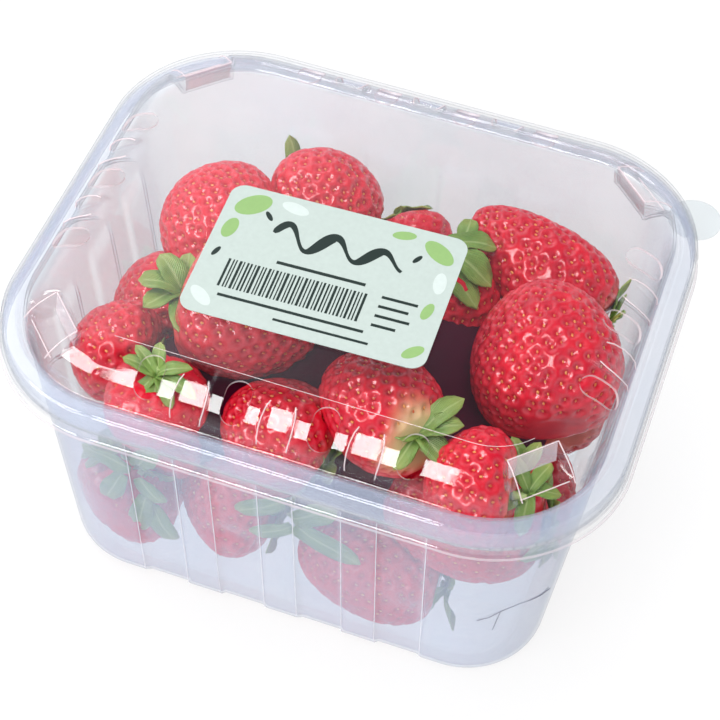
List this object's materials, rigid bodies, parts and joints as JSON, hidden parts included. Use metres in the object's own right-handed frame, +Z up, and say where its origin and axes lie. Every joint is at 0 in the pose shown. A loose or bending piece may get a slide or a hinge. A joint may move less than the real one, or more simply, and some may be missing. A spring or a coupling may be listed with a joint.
{
  "type": "punnet of strawberries",
  "caption": "Clear plastic punnet of strawberries: a tapered fluted tub, a shut press-on lid with vents and a pull tab, and a sticker on the lid.",
  "frame": {"origin": "middle of the tub's flat underside", "axes": "+Z up, +X along the punnet's long side, -Y towards the front side over which the label sits nearer"},
  "size_m": [0.1503, 0.1248, 0.0873],
  "materials": {
    "tub_plastic": "clear thermoformed plastic, slightly milky",
    "lid_plastic": "clear thermoformed plastic, glossy",
    "label_paper": "pale green printed sticker, satin",
    "strawberry": "glossy ripe red berries with dimples, pale seeds and green calyxes"
  },
  "bodies": {
    "root": {"tub": "tub_plastic", "lid": "lid_plastic", "label": "label_paper", "strawberries": "strawberry"}
  },
  "joints": []
}
